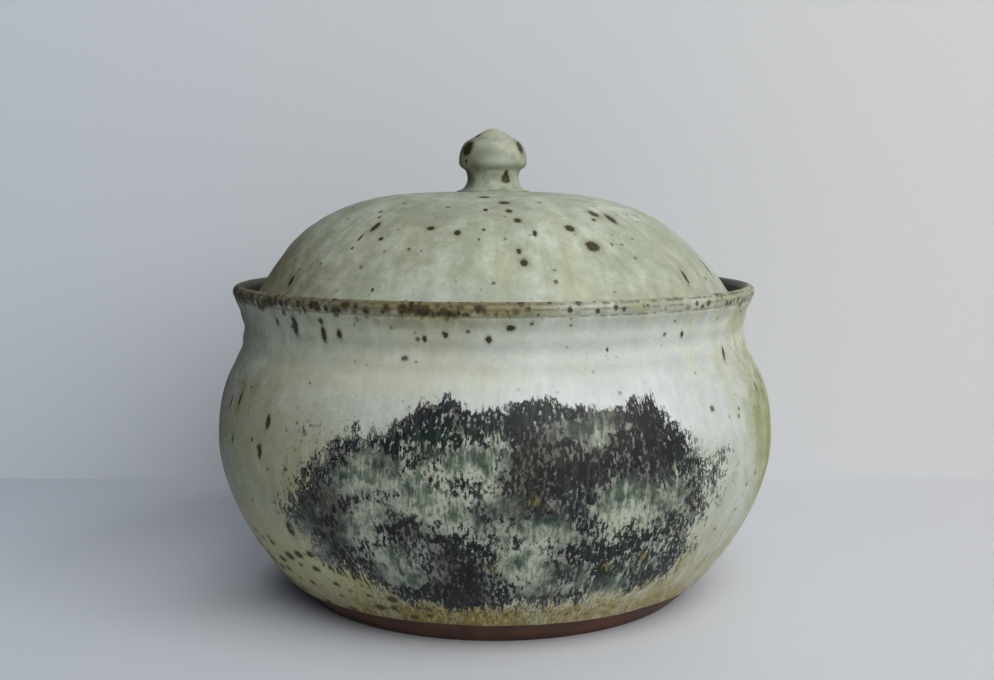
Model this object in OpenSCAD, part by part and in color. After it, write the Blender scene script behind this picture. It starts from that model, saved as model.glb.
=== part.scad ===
// Lidded stoneware pot: a thrown round body, a loose domed lid in a gallery, and an onion knob.
// Every piece is turned about the upright axis. Lengths in millimetres, angles in degrees.

/* [Foot] */
// Diameter of the foot where it meets the table
foot_d = 186; // [165:1:205]
// Width of the ring that the pot stands on
foot_ring_w = 15; // [8:1:30]
// Depth of the turned recess inside the foot ring
foot_recess = 2.5; // [1:0.5:5]
// Width of the slope between the recess and the foot ring
recess_slope_w = 2; // [0.5:0.5:6]
// Rounding of the foot's outer edge
foot_edge_r = 1.2; // [0.5:0.1:3]
// Lean of the wall from upright where it leaves the foot
foot_lean = 55; // [40:1:62]
// Length of the straight pull of the wall above the foot
foot_pull = 22; // [12:1:32]

/* [Belly] */
// Largest diameter of the body
belly_d = 268; // [250:1:300]
// Height of the largest diameter
belly_z = 76; // [66:1:86]
// Fullness of the belly below its largest diameter
belly_low_pull = 28; // [18:1:38]
// Fullness of the belly above its largest diameter
belly_high_pull = 35; // [25:1:42]

/* [Neck and rim] */
// Height of the pot without its lid
pot_h = 148; // [135:0.5:165]
// Outer diameter of the lip
lip_d = 250; // [230:0.5:265]
// Thickness of the rounded lip
lip_t = 5.5; // [4:0.1:6.5]
// Depth of the narrowest neck below the lip
neck_drop = 19; // [15:0.5:24]
// How far the neck is drawn in from the lip
neck_inset = 4.5; // [2:0.1:6]
// Length of the sweep from the shoulder into the neck
neck_pull = 18.5; // [10:0.5:26]
// Outward lean of the rim below the lip
rim_lean = 11; // [4:1:25]
// Length of the sweep from the neck into the rim
rim_low_pull = 5.5; // [3:0.5:8]
// Length of the sweep from the rim into the lip
rim_high_pull = 4; // [2:0.5:6]

/* [Walls] */
// Thickness of the body wall
wall = 6.5; // [5:0.1:8]
// Thickness of the floor
floor_t = 8; // [6:0.5:12]
// Width of the inside curve from the floor to the wall
floor_curve_w = 26; // [14:1:40]
// Height of the inside curve from the floor to the wall
floor_curve_h = 13; // [8:1:24]

/* [Gallery] */
// Depth of the ledge below the top of the lip
gallery_depth = 10; // [8:0.5:13]
// How far the foot of the gallery wall lies inside the lip
gallery_inset = 7.8; // [7:0.1:9.5]
// Width of the ledge that carries the lid
ledge_w = 9; // [6:0.5:13]
// Thickness of the ledge at the throat
ledge_t = 5; // [3:0.5:8]
// Rounding of the ledge's inner edge
ledge_edge_r = 1.2; // [0.5:0.1:2]
// Height of the sweep from the inside wall to the ledge
ledge_sweep_h = 18; // [10:1:26]
// Gap all round between the lid and the gallery wall
lid_gap = 1.5; // [0.8:0.1:2.5]

/* [Lid] */
// Rise of the lid from its seat to the pad under the knob
lid_rise = 53.6; // [40:0.2:66]
// Height of the upright edge of the lid
lid_edge_h = 2.5; // [2.2:0.1:4]
// Rounding of the lid's lower outer edge
lid_edge_r = 1.5; // [0.8:0.1:2]
// Width of the flat seat under the edge
seat_w = 8; // [6.5:0.5:12]
// Height of the inside curve from the seat to the dome
seat_curve_h = 10; // [6:0.5:16]
// Lean of the dome from upright above the edge
dome_lean = 34; // [24:1:42]
// Length of the straight pull of the dome above the edge
dome_pull = 32; // [20:1:42]
// Length of the level sweep of the crown
crown_pull = 65; // [45:1:75]
// Thickness of the dome
lid_t = 6; // [4.5:0.1:8]

/* [Knob] */
// Diameter of the collar luted on the lid
collar_d = 35; // [30:0.5:50]
// Thickness of the collar at its edge
collar_t = 0.6; // [0.5:0.1:2]
// Diameter of the waist
waist_d = 24.8; // [18:0.2:28]
// Height of the waist above the lid
waist_h = 6.5; // [4:0.1:9]
// Largest diameter of the knob
knob_d = 32.4; // [28:0.2:40]
// Height from the waist to the largest diameter
ball_rise = 8; // [5:0.2:12]
// Diameter of the knob where its cap turns in to the point
cap_d = 24; // [14:0.5:27]
// Height from the largest diameter to the turn of the cap
cap_rise = 10.3; // [6:0.1:14]
// Height of the point above the turn of the cap
point_rise = 5.6; // [3:0.2:9]

/* [Hidden] */
$fn = 160;

curve_steps = 16;
arc_steps = 8;
up = [0, 1];
out = [1, 0];
// Share of a quarter turn's radius that makes a cubic curve follow a circle
round_k = 0.55;

foot_r = foot_d / 2;
lip_r = lip_t / 2;
neck_r = lip_d / 2 - neck_inset;
neck_z = pot_h - neck_drop;
gallery_r = lip_d / 2 - gallery_inset;
throat_r = gallery_r - ledge_w;
lid_r = gallery_r - lid_gap;
floor_z = foot_recess + floor_t;
seat_z = pot_h - gallery_depth;
throat_z = seat_z - ledge_t;
pad_z = seat_z + lid_rise;

function cubic(p0, p1, p2, p3) =
    [for (i = [0 : curve_steps])
        let (t = i / curve_steps, s = 1 - t)
        s * s * s * p0 + 3 * s * s * t * p1 + 3 * s * t * t * p2 + t * t * t * p3];

function arc(centre, r, from, to) =
    [for (i = [0 : arc_steps])
        let (a = from + (to - from) * i / arc_steps)
        centre + r * [cos(a), sin(a)]];

function tail(path) = [for (i = [1 : len(path) - 1]) path[i]];

function last(path) = path[len(path) - 1];

function reversed(path) = [for (i = [len(path) - 1 : -1 : 0]) path[i]];

// Direction that a path runs at one of its points
function heading(path, i) =
    let (step = path[min(i + 1, len(path) - 1)] - path[max(i - 1, 0)])
    step / norm(step);

// Path moved sideways by d, to the left of the way that it runs
function shifted(path, d) =
    [for (i = [0 : len(path) - 1])
        let (h = heading(path, i))
        path[i] + d * [-h[1], h[0]]];

// Direction at an angle from upright, outwards where the angle is positive
function leaning(a) = [sin(a), cos(a)];

// Outside of the body, from the foot to the lip
foot_centre = [foot_r - foot_edge_r, foot_edge_r];
foot_edge = arc(foot_centre, foot_edge_r, -90, -foot_lean);
foot_top = last(foot_edge);
belly_side = [belly_d / 2, belly_z];
neck_side = [neck_r, neck_z];
lip_centre = [lip_d / 2 - lip_r, pot_h - lip_r];
lip = arc(lip_centre, lip_r, -rim_lean, 180);
wall_outside = concat(
    cubic(foot_top, foot_top + foot_pull * leaning(foot_lean), belly_side - belly_low_pull * up, belly_side),
    tail(cubic(belly_side, belly_side + belly_high_pull * up, neck_side - neck_pull * up, neck_side)));
rim_outside = cubic(neck_side, neck_side + rim_low_pull * up,
    lip[0] - rim_high_pull * leaning(rim_lean), lip[0]);

// Gallery, from its wall over the ledge to the throat
gallery = concat(
    arc([gallery_r - lid_edge_r, seat_z + lid_edge_r], lid_edge_r, 0, -90),
    arc([throat_r + ledge_edge_r, seat_z - ledge_edge_r], ledge_edge_r, 90, 180));

// Inside of the body, from the floor up to the throat
inside_wall = [for (p = shifted(wall_outside, wall))
    if (p[1] > floor_z + floor_curve_h && p[1] < throat_z - ledge_sweep_h) p];
wall_low = inside_wall[0];
wall_high = last(inside_wall);
floor_edge = [wall_low[0] - floor_curve_w, floor_z];
throat_foot = [throat_r, throat_z];
floor_curve = cubic(floor_edge, floor_edge + round_k * floor_curve_w * out,
    wall_low - round_k * floor_curve_h * heading(inside_wall, 0), wall_low);
throat_curve = cubic(wall_high, wall_high + ledge_sweep_h / 2 * heading(inside_wall, len(inside_wall) - 1),
    throat_foot - ledge_sweep_h / 3 * up, throat_foot);

recess_edge_r = foot_r - foot_ring_w;
pot_profile = concat(
    [[0, foot_recess], [recess_edge_r - recess_slope_w, foot_recess], [recess_edge_r, 0]],
    foot_edge, tail(wall_outside), tail(rim_outside), tail(lip), gallery,
    reversed(concat(floor_curve, tail(inside_wall), tail(throat_curve))),
    [[0, floor_z]]);

// Outside of the lid, from its seat over the edge to the pad under the knob
edge_corner = [lid_r, seat_z + lid_edge_h];
edge_blend = lid_edge_h - lid_edge_r;
dome_foot = edge_corner + edge_blend * leaning(-dome_lean);
pad_edge = [collar_d / 2, pad_z];
lid_edge = concat(
    arc([lid_r - lid_edge_r, seat_z + lid_edge_r], lid_edge_r, -90, 0),
    tail(cubic(edge_corner - edge_blend * up, edge_corner - edge_blend / 3 * up,
        edge_corner + edge_blend / 3 * leaning(-dome_lean), dome_foot)));
dome = cubic(dome_foot, dome_foot + dome_pull * leaning(-dome_lean), pad_edge + crown_pull * out, pad_edge);

// Inside of the lid, from the seat up under the dome
seat_edge = [lid_r - seat_w, seat_z];
dome_inside = [for (p = shifted(dome, lid_t)) if (p[1] > seat_z + seat_curve_h) p];
seat_curve = cubic(seat_edge, seat_edge + seat_curve_h / 3 * up,
    dome_inside[0] - seat_curve_h / 3 * heading(dome_inside, 0), dome_inside[0]);

lid_profile = concat(
    lid_edge, tail(dome), [[0, pad_z], [0, pad_z - lid_t]],
    reversed(concat(seat_curve, tail(dome_inside))));

// Knob, from its collar through the waist to the point
collar_top = pad_edge + collar_t * up;
waist_side = [waist_d / 2, pad_z + waist_h];
full_side = [knob_d / 2, waist_side[1] + ball_rise];
cap_turn = [cap_d / 2, full_side[1] + cap_rise];
knob_tip = [0, cap_turn[1] + point_rise];
flare_w = collar_top[0] - waist_side[0];
flare_h = waist_h - collar_t;
point_dir = (knob_tip - cap_turn) / norm(knob_tip - cap_turn);

knob_profile = concat(
    [[0, pad_z], pad_edge],
    cubic(collar_top, collar_top - round_k * flare_w * out, waist_side - round_k * flare_h * up, waist_side),
    tail(cubic(waist_side, waist_side + ball_rise / 2 * up, full_side - ball_rise / 4 * up, full_side)),
    tail(cubic(full_side, full_side + round_k * cap_rise * up, cap_turn - cap_rise / 3 * point_dir, cap_turn)),
    tail(cubic(cap_turn, cap_turn + cap_d / 5 * point_dir, knob_tip + cap_d / 6 * out, knob_tip)));

module pot_body() {
    color("#b3b7a4") rotate_extrude() polygon(pot_profile);
}

module lid() {
    color("#b9bba6") rotate_extrude() polygon(lid_profile);
}

module knob() {
    color("#a9ac97") rotate_extrude() polygon(knob_profile);
}

pot_body();
lid();
knob();
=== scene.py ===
import math
import bmesh
import bpy
from mathutils import Matrix, Vector, noise
from mathutils.geometry import interpolate_bezier


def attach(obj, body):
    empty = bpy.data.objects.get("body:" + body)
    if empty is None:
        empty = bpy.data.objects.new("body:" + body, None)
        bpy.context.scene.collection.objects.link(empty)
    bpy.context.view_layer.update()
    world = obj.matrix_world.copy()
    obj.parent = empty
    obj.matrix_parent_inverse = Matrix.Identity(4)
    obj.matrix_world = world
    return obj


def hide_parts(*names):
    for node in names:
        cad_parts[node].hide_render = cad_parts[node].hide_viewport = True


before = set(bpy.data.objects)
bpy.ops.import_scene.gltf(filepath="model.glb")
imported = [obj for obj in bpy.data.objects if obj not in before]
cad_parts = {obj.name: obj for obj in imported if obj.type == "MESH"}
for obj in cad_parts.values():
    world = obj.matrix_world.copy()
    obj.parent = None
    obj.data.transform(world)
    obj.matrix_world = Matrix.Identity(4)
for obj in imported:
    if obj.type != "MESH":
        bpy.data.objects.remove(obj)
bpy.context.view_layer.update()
scene = bpy.context.scene
scene.view_settings.view_transform = "Standard"
perMetre = 1000  # the pieces and their glazes are worked out in millimetres
up = Vector((0, 0, 1))
out = Vector((1, 0, 0))
roundK = 0.55  # share of a quarter turn's radius that makes a cubic curve follow a circle


def linear(hexColour):  # sRGB hex to linear RGBA
    shades = [int(hexColour[i:i + 2], 16) / 255 for i in (1, 3, 5)]
    return [s / 12.92 if s <= 0.04045 else ((s + 0.055) / 1.055) ** 2.4 for s in shades] + [1]


# Gives back the node's outputs. Inputs go by name or number: a MapRange reads 0 between 1 and 2 and gives 3
# to 4, or 0 to 1 where they are left out.
def addNode(tree, kind, inputs=None, operation=None, stops=(), **settings):
    made = tree.nodes.new("ShaderNode" + kind)
    if operation:
        made.operation = operation
    for key, value in settings.items():
        setattr(made, key, value)
    for key, value in (inputs or {}).items():
        if isinstance(value, bpy.types.NodeSocket):
            tree.links.new(value, made.inputs[key])
        else:
            made.inputs[key].default_value = value
    for i, (place, hexColour) in enumerate(stops):  # first, last, then those between
        ramp = made.color_ramp.elements
        stop = (ramp[0], ramp[-1])[i] if i < 2 else ramp.new(place)
        stop.position = place
        stop.color = linear(hexColour)
    return made.outputs


def overlap(tree, mask, *others):  # where all the masks agree
    for other in others:
        mask = addNode(tree, "Math", {0: mask, 1: other}, "MULTIPLY")[0]
    return mask


def addShares(tree, base, *shares):  # a share is a node output and how much of it to add
    for part, amount in shares:
        base = addNode(tree, "Math", {0: part, 1: amount, 2: base}, "MULTIPLY_ADD")[0]
    return base


# Lays a coat over a colour where all its masks agree; colour and shade are hex values or node outputs
def coat(tree, colour, shade, *masks):
    under, over = [linear(paint) if isinstance(paint, str) else paint for paint in (colour, shade)]
    return addNode(tree, "Mix", {0: overlap(tree, *masks), 6: under, 7: over}, data_type="RGBA")[2]


def newMaterial(name):
    material = bpy.data.materials.new(name)
    material.use_nodes = True
    material.node_tree.nodes.clear()
    return material, material.node_tree


# Half sections lie in the x-z plane: x is the distance from the axis, z the height.
def lean(degrees, length=1):  # a step at an angle from upright, outwards where positive
    return Vector((math.sin(math.radians(degrees)), 0, math.cos(math.radians(degrees)))) * length


def rounded(centre, radius, first, last, count):  # arc of an edge, angles from level outwards
    turns = [math.radians(first + (last - first) * i / (count - 1)) for i in range(count)]
    return [centre + Vector((math.cos(t), 0, math.sin(t))) * radius for t in turns]


def easeIn(value, low, high):  # 0 below low, 1 above high, smooth between
    t = max(0, min(1, (value - low) / (high - low)))
    return t * t * (3 - 2 * t)


def bell(value, middle, spread):  # 1 at the middle, fading to both sides
    return math.exp(-((value - middle) / spread) ** 2)


def aroundAxis(point):  # distance from the axis, turn from the front, way outwards
    width = point.xy.length
    return width, math.atan2(point.x, -point.y), Vector((point.x, point.y, 0)) / max(width, 0.001)


def headingAt(path, i):
    return (path[min(i + 1, len(path) - 1)] - path[max(i - 1, 0)]).normalized()


def shifted(path, distance):  # to the left of the way that the path runs
    moved = []
    for i, p in enumerate(path):
        h = headingAt(path, i)
        moved.append(p + Vector((-h.z, 0, h.x)) * distance)
    return moved


def crossing(path, axis, value):  # point and heading where the path first passes a height (2) or radius (0)
    for a, b in zip(path, path[1:]):
        if (a[axis] - value) * (b[axis] - value) <= 0 and a[axis] != b[axis]:
            return a.lerp(b, (value - a[axis]) / (b[axis] - a[axis])), (b - a).normalized()
    return path[-1], headingAt(path, len(path) - 1)


# Spins runs of a half section into a closed turned shape; a run has a side: 1 outside, -1 inside, 0 neither
def turnOnWheel(runs, steps):
    bm = bmesh.new()
    side = bm.verts.layers.int.new("side")
    verts = []
    for which, run in runs:
        for p in run:
            verts.append(bm.verts.new(p))
            verts[-1][side] = which
    edges = [bm.edges.new(pair) for pair in zip(verts, verts[1:])]
    bmesh.ops.spin(bm, geom=verts + edges, cent=(0, 0, 0), axis=up, angle=math.tau / 8, steps=steps // 8)
    for eighths in (1, 2, 4):  # an eighth, doubled three times, is much quicker than one long spin
        copied = bmesh.ops.duplicate(bm, geom=bm.verts[:] + bm.edges[:] + bm.faces[:])["geom"]
        copiedVerts = [part for part in copied if isinstance(part, bmesh.types.BMVert)]
        onwards = Matrix.Rotation(math.tau * eighths / 8, 3, "Z")
        bmesh.ops.rotate(bm, verts=copiedVerts, cent=(0, 0, 0), matrix=onwards)
    bmesh.ops.remove_doubles(bm, verts=bm.verts, dist=0.001)
    bmesh.ops.recalc_face_normals(bm, faces=bm.faces)
    return bm


def meshObject(bm, name, materials):
    mesh = bpy.data.meshes.new(name)
    bm.to_mesh(mesh)
    bm.free()
    for material in materials:
        mesh.materials.append(material)
    made = bpy.data.objects.new(name, mesh)
    scene.collection.objects.link(made)
    return made


def finishPiece(bm, name, materials, body, node):
    bmesh.ops.scale(bm, vec=[1 / perMetre] * 3, verts=bm.verts)
    piece = meshObject(bm, name, materials)
    piece.data.shade_smooth()
    piece.data.set_sharp_from_angle(angle=math.radians(50))
    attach(piece, body)
    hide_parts(node)


# Camera at the photograph's place
cameraLook = {"lens": 43.46, "sensor": 36, "place": (0.0011, -0.5878, 0.1864), "tipDown": 6.53}
cameraData = bpy.data.cameras.new("camera")
cameraData.lens = cameraLook["lens"]
cameraData.sensor_width = cameraLook["sensor"]
cameraData.sensor_fit = "HORIZONTAL"
camera = bpy.data.objects.new("camera", cameraData)
camera.location = cameraLook["place"]
camera.rotation_euler = (math.radians(90 - cameraLook["tipDown"]), 0, 0)
scene.collection.objects.link(camera)
scene.camera = camera
print("camera set")

# Table and wall, pale matt paint, a little bluer on the left as a painted cool light tint; the wall shows
# only from the pot's side.
# Bounced light meets a darker paint on the left, as from a room that is dark on that side. The table shines
# faintly beside the pot, from shineFrom to shineTo metres off its axis, which softens its shadow.
stageLook = {"table": ("#cdd5df", "#cccdd0", "#bfc5cc"), "wall": ("#c8cfd8", "#cdcecf", "#454a50"),
             "bluer": (-0.45, 0.35), "darker": (-0.12, 0.12), "wallBack": 0.2125, "reach": 3.2,
             "shine": "#d6d4e0", "shineMost": 0.16, "shineWay": (-0.85, 0.53, 0), "shineSpread": (0.65, 0.97),
             "shineFrom": (0.1, 0.12), "shineTo": (0.235, 0.125)}


def shadowShine(tree, point, seen):
    away = addNode(tree, "VectorMath", {0: point}, "LENGTH")["Value"]
    heading = addNode(tree, "VectorMath", {0: point}, "NORMALIZE")[0]
    agree = addNode(tree, "VectorMath", {0: heading, 1: stageLook["shineWay"]}, "DOT_PRODUCT")["Value"]
    shares = []
    for measure, bounds in ((away, "shineFrom"), (away, "shineTo"), (agree, "shineSpread")):
        first, last = stageLook[bounds]
        shares.append(addNode(tree, "MapRange", {0: measure, 1: first, 2: last})[0])
    strength = overlap(tree, seen, stageLook["shineMost"], *shares)
    return addNode(tree, "Emission", {0: linear(stageLook["shine"]), 1: strength})[0]


def mattPaint(name, shades, oneSided):
    material, tree = newMaterial(name)
    point = addNode(tree, "TexCoord")["Object"]
    sideways = addNode(tree, "SeparateXYZ", {0: point})["X"]
    fade = {}
    for which in ("bluer", "darker"):
        left, right = stageLook[which]
        fade[which] = addNode(tree, "MapRange", {0: sideways, 1: left, 2: right})[0]
    # painted cool tint of light: the paint turns bluer towards the left
    paint = coat(tree, shades[0], shades[1], fade["bluer"])
    bounced = coat(tree, shades[2], paint, fade["darker"])
    seen = addNode(tree, "LightPath")["Is Camera Ray"]
    matt = addNode(tree, "BsdfDiffuse", {"Color": coat(tree, bounced, paint, seen)})[0]
    if oneSided:
        behind = addNode(tree, "NewGeometry")["Backfacing"]
        clear = addNode(tree, "BsdfTransparent")[0]
        matt = addNode(tree, "MixShader", {0: behind, 1: matt, 2: clear})[0]
    else:
        matt = addNode(tree, "AddShader", {0: matt, 1: shadowShine(tree, point, seen)})[0]
    addNode(tree, "OutputMaterial", {"Surface": matt})
    return material


def stagePlane(name, corners, material):
    bm = bmesh.new()
    bm.faces.new([bm.verts.new(c) for c in corners])
    meshObject(bm, name, [material])


reach, back = stageLook["reach"], stageLook["wallBack"]
stagePlane("table", [(-reach, -reach, 0), (reach, -reach, 0), (reach, reach, 0), (-reach, reach, 0)],
           mattPaint("matt white table paint", stageLook["table"], False))
stagePlane("wall", [(-reach, back, 0), (reach, back, 0), (reach, back, reach), (-reach, back, reach)],
           mattPaint("matt white wall paint", stageLook["wall"], True))

# One broad window light from the right and a weak cool room light, stronger from the ceiling
lightLook = {"turn": 35, "rise": 36, "distance": 2.9, "aimHeight": 0.1, "size": 3.2, "watts": 105,
             "warmth": "#fffcf6", "room": "#b4c0d8", "roomLevel": 0.015, "backdrop": "#c6cad0",
             "ceilingLevel": 0.72, "ceilingWay": (0.3, -0.25, 0.92), "ceilingFrom": 0.4}
window = bpy.data.lights.new("window", "AREA")
window.shape = "SQUARE"
window.size = lightLook["size"]
window.energy = lightLook["watts"]
window.color = linear(lightLook["warmth"])[:3]
windowObject = bpy.data.objects.new("window", window)
turnTo, rise = math.radians(lightLook["turn"]), math.radians(lightLook["rise"])
towards = Vector((math.sin(turnTo) * math.cos(rise), -math.cos(turnTo) * math.cos(rise), math.sin(rise)))
windowObject.location = towards * lightLook["distance"] + up * lightLook["aimHeight"]
windowObject.rotation_euler = towards.to_track_quat("Z", "Y").to_euler()
scene.collection.objects.link(windowObject)
world = bpy.data.worlds.new("room")
world.use_nodes = True
room = world.node_tree
room.nodes.clear()
outwards = addNode(room, "TexCoord")["Generated"]
skyward = addNode(room, "VectorMath", {0: outwards, 1: lightLook["ceilingWay"]}, "DOT_PRODUCT")["Value"]
level = addNode(room, "MapRange", {0: skyward, 1: lightLook["ceilingFrom"], 2: 1,
                                   3: lightLook["roomLevel"], 4: lightLook["ceilingLevel"]})[0]
dimRoom = addNode(room, "Background", {0: linear(lightLook["room"]), 1: level})[0]
paleRoom = addNode(room, "Background", {0: linear(lightLook["backdrop"])})[0]
seen = addNode(room, "LightPath")["Is Camera Ray"]
addNode(room, "OutputWorld", {"Surface": addNode(room, "MixShader", {0: seen, 1: dimRoom, 2: paleRoom})[0]})
scene.world = world
print("stage and light set")

# Pot: thrown round body on a turned foot, with a gallery inside the lip for the lid
pot = {
    "footWidth": 186, "ringWidth": 15, "recess": 2.5, "recessSlope": 2, "footEdge": 1.2, "footLean": 55,
    "footPull": 22, "bellyWidth": 268, "bellyHeight": 76, "bellyLow": 28, "bellyHigh": 35, "height": 148,
    "lipWidth": 250, "lipThick": 5.5, "neckDrop": 19, "neckInset": 4.5, "neckPull": 18.5, "rimLean": 11,
    "rimLow": 5.5, "rimHigh": 4, "wall": 6.5, "floor": 8, "floorCurve": (26, 13), "galleryDepth": 10,
    "galleryInset": 7.8, "galleryRound": 1.5, "lipGlaze": 2.5, "ledge": 9, "ledgeThick": 5,
    "ledgeEdge": 1.2, "ledgeSweep": 18, "glazeLine": 11, "glazeThick": 0.4, "glazeWave": 0.7, "waveSpread": 4,
    "glazeRoll": ((0.02, -0.25), (0.15, 0), (0.5, 0.14), (1.1, 0.2), (2, 0.14), (3.2, 0.05)),
    "ringPitch": 9.5, "ringStart": 132.5, "ringSway": 0.35, "insideRings": 0.5, "insideFade": 12,
    "neckRings": 0.3, "neckRingsAt": 127, "neckRingsSpread": 13, "lipGroove": 0.3, "grooveAt": 142.3,
    "grooveWide": 0.8, "outOfRound": 0.4, "uneven": 0.25, "unevenWide": 30, "firmBelow": 40, "rimLeft": 0.6,
    "rimSwell": 0.3, "rimShift": (108, 140), "steps": 312}
footR = pot["footWidth"] / 2
lipR = pot["lipThick"] / 2
seatZ = pot["height"] - pot["galleryDepth"]
galleryR = pot["lipWidth"] / 2 - pot["galleryInset"]
throatR = galleryR - pot["ledge"]
floorZ = pot["recess"] + pot["floor"]
bellySide = Vector((pot["bellyWidth"] / 2, 0, pot["bellyHeight"]))
neckSide = Vector((pot["lipWidth"] / 2 - pot["neckInset"], 0, pot["height"] - pot["neckDrop"]))

footEdge = rounded(Vector((footR - pot["footEdge"], 0, pot["footEdge"])), pot["footEdge"],
                   -90, -pot["footLean"], 6)
wallLow = interpolate_bezier(footEdge[-1], footEdge[-1] + lean(pot["footLean"], pot["footPull"]),
                             bellySide - up * pot["bellyLow"], bellySide, 60)
wallHigh = interpolate_bezier(bellySide, bellySide + up * pot["bellyHigh"],
                              neckSide - up * pot["neckPull"], neckSide, 46)
lip = rounded(Vector((pot["lipWidth"] / 2 - lipR, 0, pot["height"] - lipR)), lipR, -pot["rimLean"], 180, 16)
rim = interpolate_bezier(neckSide, neckSide + up * pot["rimLow"],
                         lip[0] - lean(pot["rimLean"], pot["rimHigh"]), lip[0], 32)
wallTop = wallHigh[1:] + rim[1:] + lip[1:]
potOutside = wallLow + wallTop

# Bare clay below the glaze line, then the rolled edge of the glaze coat
glazeEdge, glazeRun = crossing(wallLow, 2, pot["glazeLine"])
glazeOut = Vector((glazeRun.z, 0, -glazeRun.x))
sunk = [p.lerp(q, easeIn(p.z, 0.4, 4)) for p, q in zip(wallLow, shifted(wallLow, pot["glazeThick"]))]
clayWall = [p for p in sunk if p.z < pot["glazeLine"] - 0.6]
clayWall.append(glazeEdge - glazeOut * pot["glazeThick"])
glazeRoll = [glazeEdge + glazeRun * along + glazeOut * proud for along, proud in pot["glazeRoll"]]
glazedWall = [p for p in wallLow if p.z > pot["glazeLine"] + 3]

# Gallery wall, ledge and throat, then the inside down to the floor
cornerR, edgeR = pot["galleryRound"], pot["ledgeEdge"]
galleryCorner = rounded(Vector((galleryR - cornerR, 0, seatZ + cornerR)), cornerR, 0, -90, 6)
ledgeEdge = rounded(Vector((throatR + edgeR, 0, seatZ - edgeR)), edgeR, 90, 180, 6)
galleryWall = [lip[-1].lerp(galleryCorner[0], i / 6) for i in range(1, 6)]
ledgeTop = [galleryCorner[-1].lerp(ledgeEdge[0], i / 5) for i in range(1, 5)]
curveOut, curveUp = pot["floorCurve"]
throatFoot = Vector((throatR, 0, seatZ - pot["ledgeThick"]))
insideWall = [p for p in shifted(wallLow + wallHigh[1:], pot["wall"])
              if floorZ + curveUp < p.z < throatFoot.z - pot["ledgeSweep"]]
wallFoot, wallHead = insideWall[0], insideWall[-1]
floorEdge = Vector((wallFoot.x - curveOut, 0, floorZ))
floorCurve = interpolate_bezier(floorEdge, floorEdge + out * roundK * curveOut,
                                wallFoot - headingAt(insideWall, 0) * roundK * curveUp, wallFoot, 16)
headWay = headingAt(insideWall, len(insideWall) - 1)
throatCurve = interpolate_bezier(wallHead, wallHead + headWay * pot["ledgeSweep"] / 2,
                                 throatFoot - up * pot["ledgeSweep"] / 3, throatFoot, 16)
potInside = (floorCurve + insideWall[1:] + throatCurve[1:])[::-1]
floorFlat = [floorEdge * share + up * floorZ * (1 - share) for share in (0.8, 0.6, 0.4, 0.2, 0)]

# Underside: shallow recess with a sloped wall, then the foot ring
recessR, recessZ = footR - pot["ringWidth"], pot["recess"]
slopeR = recessR - pot["recessSlope"]
undersideRow = [(recessR * share, recessZ) for share in (0, 0.25, 0.5, 0.75)]
undersideRow += [(slopeR - 1, recessZ), (slopeR, recessZ - 0.2)]
undersideRow += [(recessR - 0.3, 0.2), (recessR + 0.4, 0), (recessR + 6, 0)]
underside = [Vector((width, 0, height)) for width, height in undersideRow]

potMesh = turnOnWheel([(0, underside), (0, footEdge[:-1]), (1, clayWall + glazeRoll + glazedWall + wallTop),
                       (0, galleryWall + galleryCorner + ledgeTop + ledgeEdge), (-1, potInside),
                       (0, floorFlat)], pot["steps"])

# Bare clay on the foot, bare clay darkened by painted shade in the gallery, glaze elsewhere
for face in potMesh.faces:
    middle = face.calc_center_median()
    isFoot = middle.z < pot["glazeLine"] and face.normal.z < 0.1
    isDeep = seatZ - 3 < middle.z < pot["height"] - pot["lipGlaze"]
    isLedge = isDeep and throatR - 1 < middle.xy.length < galleryR + 2.6
    face.material_index = 1 if isFoot else 2 if isLedge else 0

# The hand's marks: rings from the fingers, a body a little out of round, a wandering glaze line
side = potMesh.verts.layers.int["side"]
for vert in potMesh.verts:
    width, turn, outwards = aroundAxis(vert.co)
    if width < 1:
        continue
    height = vert.co.z
    rings = groove = nearLine = swell = 0
    if vert[side] == 1:
        rings = pot["neckRings"] * bell(height, pot["neckRingsAt"], pot["neckRingsSpread"])
        groove = pot["lipGroove"] * bell(height, pot["grooveAt"], pot["grooveWide"])
        nearLine = bell(height, pot["glazeLine"], pot["waveSpread"])
        swell = pot["rimSwell"]
    if vert[side] == -1:
        rings = pot["insideRings"]
        for fromEnd in (height - floorZ, seatZ - 4 - height):
            rings *= min(1, max(0, fromEnd / pot["insideFade"]))
    ringTurn = math.tau * (height - pot["ringStart"]) / pot["ringPitch"] + pot["ringSway"] * math.sin(turn)
    push = rings * math.cos(ringTurn) - groove
    share = min(1, height / pot["firmBelow"])
    push += pot["outOfRound"] * share * (0.7 * math.sin(2 * turn + 0.6) + 0.4 * math.sin(3 * turn + 1.9))
    push += pot["uneven"] * share * noise.noise(vert.co / pot["unevenWide"])
    wave = noise.noise(Vector((outwards.x * 3, outwards.y * 3, 4))) + 0.5 * noise.noise(outwards * 9)
    slide = pot["glazeWave"] * nearLine * wave
    rimShare = easeIn(height, *pot["rimShift"])
    vert.co += outwards * (push + glazeRun.x * slide + swell * rimShare) + up * glazeRun.z * slide
    vert.co.x -= pot["rimLeft"] * rimShare
print("pot thrown:", len(potMesh.faces), "faces")

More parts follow.
